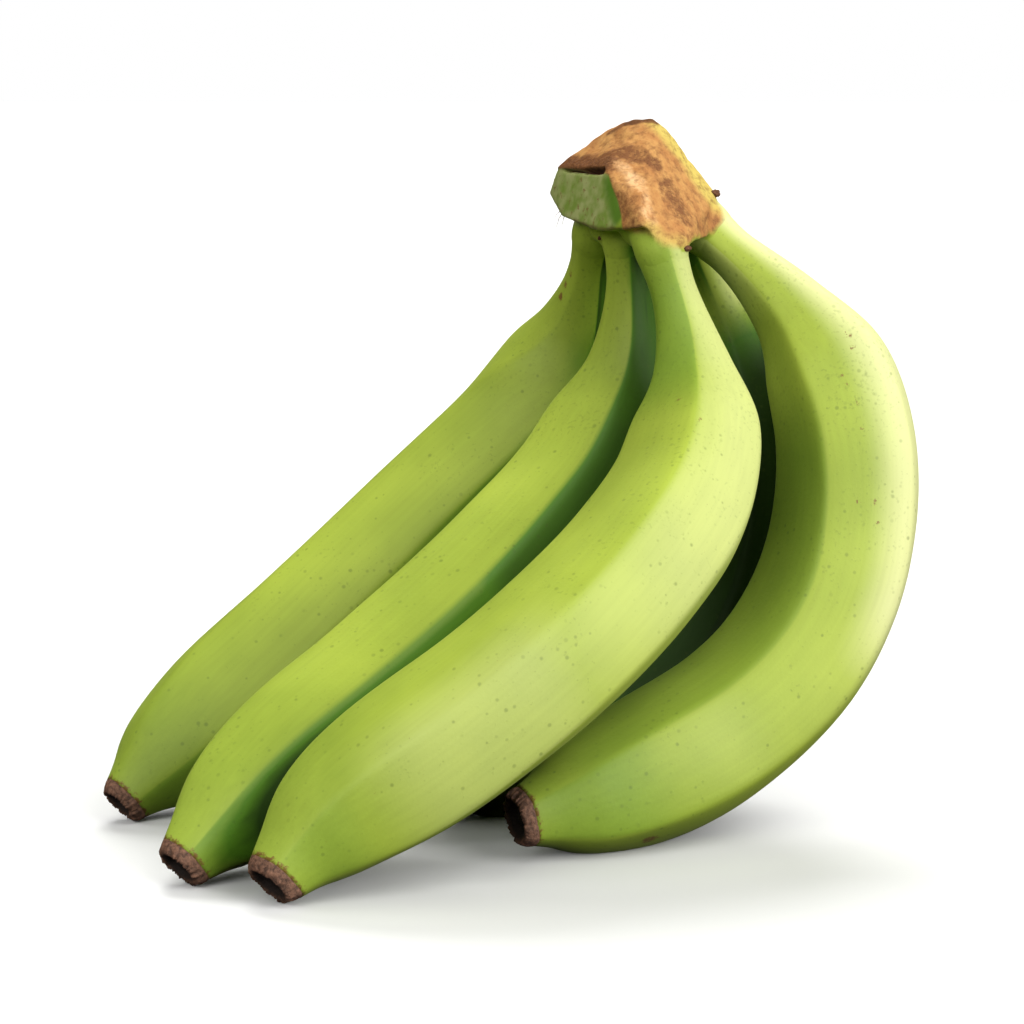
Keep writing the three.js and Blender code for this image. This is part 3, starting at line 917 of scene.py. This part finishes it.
def build_peel(number, finger, look, material, tree):
    """One finger's peel, with what its skin's colours need to know at every point."""
    rings, sides, length = PEEL_RINGS, PEEL_SIDES, finger["length"]
    end = 1 - (TIP_LENGTH - PEEL_OVER_END) / length
    shares = np.linspace(-PEEL_UNDER_CROWN / length, end, rings)
    points, around, radius, line = finger_surface(finger, shares, sides)
    outward = points - line[:, None, :]
    outward /= np.linalg.norm(outward, axis=2)[..., None]
    lumps = noise_at(points.reshape(-1, 3), LUMP_WIDTH, 3.1 * number).reshape(rings, sides)
    points = points + outward * (lumps * look.lump / MM)[..., None]
    points[..., 2] = np.maximum(points[..., 2], GROUND_GAP)

    facing = ring_normals(points, line)
    # painted shade towards the flower end and on listed faces, less on others, joined with the
    # shelter found by rays
    tip = TIP_SHADE * smoothstep(shares, TIP_SHADE_START, TIP_SHADE_FULL)[:, None]
    shaded_faces = np.maximum(table_faces(SHADED_FACES, number, shares, around, CRISP), tip).ravel()
    unshaded_faces = table_faces(UNSHADED_FACES, number, shares, around, CRISP).ravel()
    painted_shade = joint_shelter(sheltered_rings(points, facing, tree).ravel(), unshaded_faces, shaded_faces)
    # painted light: paler skin that faces the lights on the right, less where painted shade is
    # strong, and on the listed faces
    light_way = np.array(LIGHTWARD) / np.linalg.norm(LIGHTWARD)
    painted_light = LIT_MOST * smoothstep(facing.reshape(-1, 3) @ light_way, LIT_START, LIT_FULL) * (
        1 - smoothstep(painted_shade, SHADE_START, SHADE_FULL))
    painted_light = np.maximum(painted_light, table_faces(LIT_FACES, number, shares, around, SOFT).ravel())

    # the skin rolled out straight, for streaks that follow the finger
    arc = shares[:, None] * length * np.ones(sides)
    straight = np.stack([radius * np.cos(around), radius * np.sin(around), arc], axis=2)
    straight = straight.reshape(-1, 3) + (0, 0, STREAK_SPACE * number)
    from_end = (1 - shares) * length
    scar = np.repeat(BORDER_STRENGTH * smoothstep(from_end, BORDER_START, BORDER_FULL), sides)
    for place, size, strength in PEEL_MARKS:
        away = np.linalg.norm(points.reshape(-1, 3) - place, axis=1)
        scar = np.maximum(scar, strength * (1 - smoothstep(away, CORE * size, size)))

    ends = np.array([line[0], line[-1]])
    attributes = {"straight": np.vstack([straight, straight[:2]]) * MM}
    for key, values, last in (
            ("painted_shade", painted_shade, 0), ("shaded_faces", shaded_faces, 0), ("unshaded_faces", unshaded_faces, 0),
            ("painted_light", painted_light, 0), ("scar", scar, 1), ("share", np.repeat(shares, sides), 1)):
        attributes[key] = np.append(values, [0, last])
    piece = mesh_object(f"peel_{number}", np.vstack([points.reshape(-1, 3), ends]),
                        tube_faces(rings, sides), attributes)
    piece.data.materials.append(material)
    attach(piece, BODY)
    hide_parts(f"plantain_{number}")


def build_flower_end(number, finger, material):
    """One dried flower end: a ragged rim round a hollow, let into the end of the peel."""
    rings, sides = END_RINGS, END_SIDES
    t = np.linspace(0, 1, rings)
    outline = np.array(END_OUTLINE)
    places = np.linspace(0, 1, len(outline))
    along = hermite(t, places, outline[:, 1])
    around = circle(sides)
    loop = np.stack([np.cos(around), np.sin(around), np.zeros(sides)], axis=1)
    wave = noise_at(loop, 0.6, 7.7 * number)
    fine = noise_at(loop, 0.12, 5.3 * number)
    ragged = noise_at(loop, 0.04, 3.9 * number)
    rim = np.exp(-((t - RIM_PLACE) / RIM_WIDTH) ** 2)[:, None]
    edge = np.exp(-((t - EDGE_PLACE) / EDGE_WIDTH) ** 2)[:, None]
    factor = section_factor(around, 1.0)
    radius = hermite(t, places, outline[:, 0])[:, None] * finger["end"] * factor
    radius = radius * (1 + 0.05 * wave * rim) + (0.3 * fine + 0.25 * ragged) * rim
    push = (0.7 * wave + 0.5 * fine) * rim + 0.6 * ragged * edge
    shares = 1 + along / finger["length"]
    nose, inward, sideways = section_frames(finger, np.clip(shares, 0, 1))
    angle = around[None, :] + ridge_turn(finger, np.array([1.0]))[:, None]
    centres = finger_line(finger, shares)
    pushed = centres[:, None, :] + nose[:, None, :] * push[..., None]
    flat = ring_points(pushed, inward, sideways, angle, radius).reshape(-1, 3)
    rough = 0.22 * noise_at(flat, 1.3, number) + 0.14 * noise_at(flat, 0.5, number)
    flat = flat + nose[-1] * rough[:, None]
    flat = np.vstack([flat, centres[:1], centres[-1:]])
    flat[:, 2] = np.maximum(flat[:, 2], 0.0)
    depth = np.repeat(smoothstep(t, PIT_START, PIT_FULL), sides)
    piece = mesh_object(f"flower_end_{number}", flat, tube_faces(rings, sides),
                        {"depth": np.append(depth, [0, 1])})
    piece.data.materials.append(material)
    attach(piece, BODY)
    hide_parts(f"dried_tip_{number}")


def hull(points):
    """The convex hull of points, as a mesh in bmesh."""
    shell = bmesh.new()
    for p in points:
        shell.verts.new(p)
    bmesh.ops.convex_hull(shell, input=shell.verts)
    inside = [v for v in shell.verts if not v.link_faces]
    bmesh.ops.delete(shell, geom=inside, context="VERTS")
    bmesh.ops.recalc_face_normals(shell, faces=shell.faces)
    return shell


def ball(centre, radius):
    """A ball, as a mesh in bmesh."""
    made = bmesh.new()
    bmesh.ops.create_icosphere(made, subdivisions=2, radius=radius)
    bmesh.ops.translate(made, verts=made.verts, vec=centre)
    return made


def root_rings(finger):
    """Rings of a stalk's root, from the heart of the crown to a little way down the stalk."""
    direction, inward, sideways = (d[0] for d in finger_frames(finger, np.array([0.0])))
    start, heart = finger_line(finger, np.array([0.0]))[0], np.array(HEART, float)
    turn = start - direction * ROOT_REACH
    t = np.linspace(0, 1, ROOT_RINGS)[:-1, None]
    line = (1 - t) ** 2 * heart + 2 * t * (1 - t) * turn + t * t * start
    around = circle(ROOT_SIDES) + math.radians(finger["ridge"])
    ring = (inward * np.cos(around)[:, None] + sideways * np.sin(around)[:, None])
    radius = finger_radius(finger, 0.0) + ROOT_SWELL - ROOT_SLIMMING * t[:, 0]
    factor = section_factor(circle(ROOT_SIDES), 0.0)
    root = line[:, None, :] + ring * factor[:, None] * radius[:, None, None]
    sleeve, _, _, centre = finger_surface(finger, np.array(SLEEVE_SHARES), ROOT_SIDES)
    out = sleeve - centre[:, None, :]
    out /= np.linalg.norm(out, axis=2)[..., None]
    sleeve = sleeve + out * np.array(SLEEVE_HEIGHTS)[:, None, None]
    return np.vstack([root, sleeve]), np.vstack([line[:1], centre[-1:]])


def crown_lumps():
    """The crown's overlapping parts in millimetres: block, lip, facet, roots, heart, webs."""
    lumps = [hull(BLOCK_CORNERS), hull(LIP_CORNERS), hull(FACET_CORNERS)]
    for finger in FINGERS:
        rings, ends = root_rings(finger)
        made = bmesh.new()
        verts = [made.verts.new(p) for p in [*rings.reshape(-1, 3), *ends]]
        for face in tube_faces(len(rings), ROOT_SIDES):
            made.faces.new([verts[i] for i in face])
        bmesh.ops.recalc_face_normals(made, faces=made.faces)
        lumps.append(made)
    lumps += [ball(centre, radius) for centre, radius in [(HEART, HEART_RADIUS), *WEBS]]
    return lumps


def skin_of_peels(points):
    """The peels' attributes at the skin points nearest to some points of the crown."""
    peels = [o for o in bpy.data.objects if o.name.startswith("peel_")]
    if not peels:
        raise RuntimeError("the crown copies the peels' skin, so build the peels first")
    found = {"shaded_faces": [], "unshaded_faces": [], "painted_light": [], "scar": [], "straight": []}
    places, count = [], STALK_RINGS * PEEL_SIDES
    for peel in peels:
        place = np.empty(len(peel.data.vertices) * 3)
        peel.data.vertices.foreach_get("co", place)
        places.append(place.reshape(-1, 3)[:count])
        for key, values in found.items():
            wide = key == "straight"
            flat = np.empty(len(peel.data.vertices) * (3 if wide else 1), np.float32)
            peel.data.attributes[key].data.foreach_get("vector" if wide else "value", flat)
            values.append(flat.reshape(-1, 3)[:count] if wide else flat[:count])
    places = np.vstack(places) / MM
    tree = KDTree(len(places))
    for i, place in enumerate(places):
        tree.insert(place, i)
    tree.balance()
    nearest = [tree.find(p)[1] for p in points]
    return {key: np.concatenate(values)[nearest] for key, values in found.items()}


def joined_mesh(lumps, name):
    """One mesh in metres of all the lumps, which are used up."""
    whole = bmesh.new()
    for lump in lumps:
        part = bpy.data.meshes.new("lump")
        lump.to_mesh(part)
        whole.from_mesh(part)
        bpy.data.meshes.remove(part)
        lump.free()
    bmesh.ops.scale(whole, vec=(MM, MM, MM), verts=whole.verts)
    mesh = bpy.data.meshes.new(name)
    whole.to_mesh(mesh)
    whole.free()
    return mesh


def smooth_points(points, edges, weight, turns):
    """Laplacian smoothing of points along edges, by a weight for each point."""
    count = np.bincount(edges.ravel(), minlength=len(points))[:, None]
    for _ in range(turns):
        total = np.zeros_like(points)
        for k in range(points.shape[1]):
            total[:, k] = (np.bincount(edges[:, 0], points[edges[:, 1], k], len(points))
                           + np.bincount(edges[:, 1], points[edges[:, 0], k], len(points)))
        points = points + (total / count - points) * weight[:, None]
    return points


def vertex_normals(points, faces):
    """Outward directions at the points of a mesh of quads."""
    quads = np.array(faces)
    corners = points[quads]
    flat = np.cross(corners[:, 2] - corners[:, 0], corners[:, 3] - corners[:, 1])
    total = np.zeros_like(points)
    for k in range(4):
        np.add.at(total, quads[:, k], flat)
    return total / np.maximum(np.linalg.norm(total, axis=1), 1e-9)[:, None]


def border_height(points):
    """The height of the cut's border on the side of the crown where each point is."""
    azimuth = np.degrees(np.arctan2(points[:, 1] - CROWN_AXIS[1], points[:, 0] - CROWN_AXIS[0]))
    places = [*BORDER_AZIMUTHS, BORDER_AZIMUTHS[0] + 360]
    return np.interp(azimuth, places, [*BORDER_HEIGHTS, BORDER_HEIGHTS[0]])


def build_crown(look, material):
    """The cut crown: its parts grown into one, smoothed, cracked and marked out for colour."""
    rough = bpy.data.objects.new("rough_crown", joined_mesh(crown_lumps(), "rough_crown"))
    bpy.context.scene.collection.objects.link(rough)
    voxels = rough.modifiers.new("voxels", "REMESH")
    voxels.mode = "VOXEL"
    voxels.voxel_size = look.voxel
    ready = rough.evaluated_get(bpy.context.evaluated_depsgraph_get())
    mesh = bpy.data.meshes.new_from_object(ready)
    points, faces = mesh_lists(mesh)
    edges = np.empty(len(mesh.edges) * 2, int)
    mesh.edges.foreach_get("vertices", edges)
    edges = edges.reshape(-1, 2)
    bpy.data.objects.remove(rough)

    points = smooth_points(points, edges, np.full(len(points), FIRST_WEIGHT), FIRST_TURNS)
    low = smoothstep(border_height(points) - points[:, 2], 0.0, CUSHION_DEPTH)
    lip = nearness(points, *LIP_PART)
    # the cushion of peel runs softly into the stalks, and the cut keeps its edges
    points = smooth_points(points, edges, CUT_WEIGHT + CUSHION_WEIGHT * low * (1 - lip),
                           CUSHION_TURNS)
    outward = points - np.array(HEART, float)
    outward /= np.linalg.norm(outward, axis=1)[:, None]
    fine = noise_at(points, 2.0, 8.0)
    # the border wanders by about 1 mm, and less where it crosses the lip
    above = points[:, 2] - border_height(points)
    wander = (0.7 * noise_at(points, 2.6, 4.0) + 0.3 * fine) * (1 - 0.8 * lip)
    cut = smoothstep((above + wander) / (1 - 0.7 * lip), *CUT_FADE)
    # corky relief on the cut, and a fifth of it on the peel
    lumps = 0.5 * noise_at(points, 8.0, 1.0) + 0.3 * noise_at(points, 3.2, 2.0) + 0.12 * fine
    points = points + outward * (lumps * (0.2 + 0.8 * cut))[:, None]

    half = CREVICE_HALF * (CREVICE_LEAST + CREVICE_MORE * smoothstep(
        points[:, 0], CREVICE_NARROW, CREVICE_WIDE))
    crevice = nearness(points, CREVICE, CREVICE_CORE * half, half, 0.3 * fine)
    points = points - outward * (CREVICE_DEPTH * crevice)[:, None]

    stain = np.zeros(len(points))
    for line, size, strength in STAINS:
        near = nearness(points, line, CORE * size, size, 1.3 * noise_at(points, 3.0, size))
        stain = np.maximum(stain, strength * near)
    uneven = 1.2 * noise_at(points, 5, 6.0)
    yellow = np.maximum(nearness(points, *YELLOW_EDGE, uneven),
                        LOWER_SHARE * nearness(points, *LOWER_EDGE, uneven))
    rim = RIM_SHARE * nearness(points, *TORN_RIM, 0.3 * fine)

    # the crown's green parts copy the peels' painted shade and painted light, with painted shade
    # from rays of their own
    skin = skin_of_peels(points)
    green = np.flatnonzero(cut < ALL_CUT)
    shelter = np.full(len(points), OPEN_SHELTER)
    shelter[green] = sheltered_share(points[green], vertex_normals(points, faces)[green],
                                     hand_tree((points, faces)), CROWN_RAYS)
    shelter = smooth_points(shelter[:, None], edges, np.full(len(points), SHELTER_WEIGHT),
                            SHELTER_TURNS)[:, 0]
    skin["painted_shade"] = joint_shelter(shelter, skin.pop("unshaded_faces"), skin.pop("shaded_faces"))
    piece = mesh_object("cut_crown", points, faces, {
        "cut": cut, "stain": stain, "yellow": yellow, "lip": lip,
        "ridge_highlight": nearness(points, *RIDGE_HIGHLIGHT, uneven),
        "fold": nearness(points, *LIP_FOLD, 0.8 * fine),
        # dark brown along the torn rim, and painted shade deepening into the crevice
        "edge": np.maximum(rim, smoothstep(crevice, *CREVICE_DARK)),
        **skin})
    piece.data.materials.append(material)
    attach(piece, BODY)
    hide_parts("crown")


def build_scraps(material):
    """Torn scraps of dry tissue and loose fibres, each on the crown's surface."""
    crown = bpy.data.objects.get("cut_crown")
    if crown is None:
        raise RuntimeError("the scraps sit on the crown, so build the crown first")
    points, faces = [], []
    for number, (place, size, lift) in enumerate(SCRAPS):
        _, spot, normal, _ = crown.closest_point_on_mesh(Vector(place) * MM)
        lump = bmesh.new()
        bmesh.ops.create_icosphere(lump, subdivisions=4, radius=1.0)
        shape = np.array([v.co for v in lump.verts])
        shape = shape * (1 + 0.35 * noise_at(shape, 0.7, 2.3 * number)
                         + 0.15 * noise_at(shape, 0.25, number))[:, None]
        first = sum(len(p) for p in points)
        faces += [[first + v.index for v in f.verts] for f in lump.faces]
        points.append(np.array(spot) / MM + np.array(normal) * lift + shape * size)
        lump.free()
    around = circle(FIBRE_SIDES)
    across = np.stack([np.cos(around), np.sin(around), 0 * around], axis=1)
    t = np.linspace(0, 1, FIBRE_RINGS)
    walk = np.stack([t * 3, t * 0, t * 0], axis=1)
    radius = (FIBRE_RADIUS * (1 - FIBRE_THINNING * t))[:, None]
    for number, (place, heading, length) in enumerate(FIBRES):
        _, spot, normal, _ = crown.closest_point_on_mesh(Vector(place) * MM)
        wander = FIBRE_WANDER * np.array(
            [noise_at(walk, 1, 5 * number + k) for k in (0, 1, 2)]).T
        line = (np.array(spot) / MM - 0.5 * np.array(normal) + wander * t[:, None]
                + length * (np.outer(t, heading) + np.outer(t * t, (0, 0, -FIBRE_SAG))))
        tube = line[:, None, :] + across * radius[..., None]
        first = sum(len(p) for p in points)
        faces += [[first + i for i in face] for face in tube_faces(FIBRE_RINGS, FIBRE_SIDES)]
        points.append(np.vstack([tube.reshape(-1, 3), line[:1], line[-1:]]))
    piece = mesh_object("crown_scraps", np.vstack(points), faces)
    piece.data.materials.append(material)
    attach(piece, BODY)


# ---- operators -----------------------------------------------------------------------


class PLANTAIN_OT_peels(bpy.types.Operator):
    """Build the five peels"""
    bl_idname = "plantain.peels"
    bl_label = "Peels"

    def execute(self, context):
        look = context.scene.plantain_peel
        material = peel_material(look)
        tree = hand_tree(mesh_lists(bpy.data.objects["crown"].data))
        for number, finger in enumerate(FINGERS, 1):
            build_peel(number, finger, look, material, tree)
        return {"FINISHED"}


class PLANTAIN_OT_flower_ends(bpy.types.Operator):
    """Build the dried flower ends"""
    bl_idname = "plantain.flower_ends"
    bl_label = "Flower ends"

    def execute(self, context):
        material = flower_end_material(context.scene.plantain_flower_end)
        for number, finger in enumerate(FINGERS, 1):
            build_flower_end(number, finger, material)
        return {"FINISHED"}


class PLANTAIN_OT_crown(bpy.types.Operator):
    """Build the cut crown that joins the stalks"""
    bl_idname = "plantain.crown"
    bl_label = "Crown"

    def execute(self, context):
        look = context.scene.plantain_crown
        build_crown(look, crown_material(look, context.scene.plantain_peel))
        return {"FINISHED"}


class PLANTAIN_OT_scraps(bpy.types.Operator):
    """Build the torn scraps and loose fibres on the crown"""
    bl_idname = "plantain.scraps"
    bl_label = "Scraps"

    def execute(self, context):
        build_scraps(scrap_material(context.scene.plantain_crown))
        return {"FINISHED"}


class PLANTAIN_OT_stage(bpy.types.Operator):
    """Lay the floor, hang the lights and set the camera"""
    bl_idname = "plantain.stage"
    bl_label = "Stage"

    def execute(self, context):
        look = context.scene.plantain_stage
        scene = context.scene
        floor_material, _, shader = new_material("pale_floor")
        shader.inputs["Base Color"].default_value = tuple(look.floor)
        shader.inputs["Roughness"].default_value = FLOOR_ROUGHNESS
        size = FLOOR_HALF
        corners = [(-size, -size, 0), (size, -size, 0), (size, size, 0), (-size, size, 0)]
        mesh = bpy.data.meshes.new("floor")
        mesh.from_pydata(corners, [], [(0, 1, 2, 3)])
        mesh.materials.append(floor_material)
        floor = bpy.data.objects.new("floor", mesh)
        scene.collection.objects.link(floor)
        # the floor throws no light back up, as over a dark well
        floor.visible_diffuse = floor.visible_glossy = False

        world = bpy.data.worlds.new("white_surroundings")
        world.use_nodes = True
        tree = world.node_tree
        seen = add_node(tree, "ShaderNodeLightPath").outputs["Is Camera Ray"]
        backdrop = add_node(tree, "ShaderNodeMapRange", {
            "Value": seen, "To Min": look.surroundings, "To Max": 1.0})
        background = tree.nodes["Background"]
        background.inputs["Color"].default_value = (1, 1, 1, 1)
        tree.links.new(backdrop.outputs[0], background.inputs["Strength"])
        scene.world = world
        for name, azimuth, elevation, strength in LIGHTS:
            light = bpy.data.lights.new(name, "SUN")
            light.angle = look.softness
            light.energy = strength * look.strength
            lamp = bpy.data.objects.new(name, light)
            turn, rise = math.radians(azimuth), math.radians(elevation)
            towards = Vector((math.sin(turn) * math.cos(rise), -math.cos(turn) * math.cos(rise),
                              math.sin(rise)))
            lamp.rotation_euler = towards.to_track_quat("Z", "Y").to_euler()
            # the lights behind shape the fruit but leave no glare along its edges
            lamp.visible_glossy = abs(azimuth) < RIM_LIGHT
            scene.collection.objects.link(lamp)

        camera = bpy.data.objects.new("camera", bpy.data.cameras.new("camera"))
        camera.data.lens = look.lens
        camera.data.sensor_width = SENSOR_WIDTH
        back = Vector((0, -math.cos(look.elevation), math.sin(look.elevation)))
        camera.location = Vector(TARGET) + back * look.distance
        camera.rotation_euler = (math.pi / 2 - look.elevation, 0, 0)
        scene.collection.objects.link(camera)
        scene.camera = camera
        scene.view_settings.view_transform = "Standard"
        return {"FINISHED"}


class VIEW3D_PT_plantain_hand(bpy.types.Panel):
    """The hand's settings and the operators that build it"""
    bl_label = "Plantain hand"
    bl_space_type = "VIEW_3D"
    bl_region_type = "UI"
    bl_category = "Plantain hand"

    def draw(self, context):
        for operators, group in STEPS:
            box = self.layout.box()
            for operator in operators:
                box.operator(operator)
            look = getattr(context.scene, group)
            for key in look.__annotations__:
                box.prop(look, key)


STEPS = (
    (["plantain.peels"], "plantain_peel"),
    (["plantain.flower_ends"], "plantain_flower_end"),
    (["plantain.crown", "plantain.scraps"], "plantain_crown"),
    (["plantain.stage"], "plantain_stage"),
)
GROUPS = {
    "plantain_peel": PeelLook,
    "plantain_crown": CrownLook,
    "plantain_flower_end": FlowerEndLook,
    "plantain_stage": StageLook,
}
CLASSES = (*GROUPS.values(), PLANTAIN_OT_peels, PLANTAIN_OT_flower_ends, PLANTAIN_OT_crown,
           PLANTAIN_OT_scraps, PLANTAIN_OT_stage, VIEW3D_PT_plantain_hand)


def register():
    for cls in CLASSES:
        bpy.utils.register_class(cls)
    for name, group in GROUPS.items():
        setattr(bpy.types.Scene, name, bpy.props.PointerProperty(type=group))


def unregister():
    for name in GROUPS:
        delattr(bpy.types.Scene, name)
    for cls in reversed(CLASSES):
        bpy.utils.unregister_class(cls)


def main():
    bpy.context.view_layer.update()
    register()
    bpy.ops.plantain.peels()
    bpy.ops.plantain.flower_ends()
    bpy.ops.plantain.crown()
    bpy.ops.plantain.scraps()
    bpy.ops.plantain.stage()


if __name__ == "__main__":
    main()
